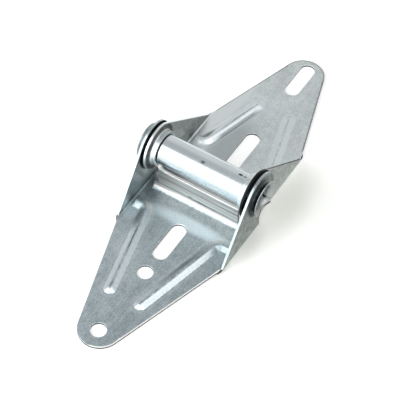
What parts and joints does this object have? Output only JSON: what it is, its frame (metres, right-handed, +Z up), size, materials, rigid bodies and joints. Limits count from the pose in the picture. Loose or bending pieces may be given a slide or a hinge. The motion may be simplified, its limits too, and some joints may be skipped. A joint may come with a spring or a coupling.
{
  "type": "roller hinge",
  "caption": "Long narrow sheet-steel hinge: two tapering leaves with beads and slotted screw holes, folded ears and a flared tube as the pin, which takes a roller stem.",
  "frame": {"origin": "on the axis of the tube that both leaves turn on, at its mid length", "axes": "+X along the tube, +Y along the back leaf with the inner ears, +Z up, away from the face that the leaves are screwed to"},
  "size_m": [0.0602, 0.186, 0.0326],
  "materials": {
    "leaf_steel": "galvanised, satin",
    "tube_steel": "galvanised, bright"
  },
  "bodies": {
    "front": {"front_leaf": "leaf_steel", "roller_tube": "tube_steel"},
    "back": {"back_leaf": "leaf_steel"}
  },
  "joints": [
    {"name": "leaf_fold", "type": "hinge", "parent": "front", "child": "back", "pos_m": [0, 0, 0], "axis": [1, 0, 0], "range_deg": [0, 180]}
  ]
}
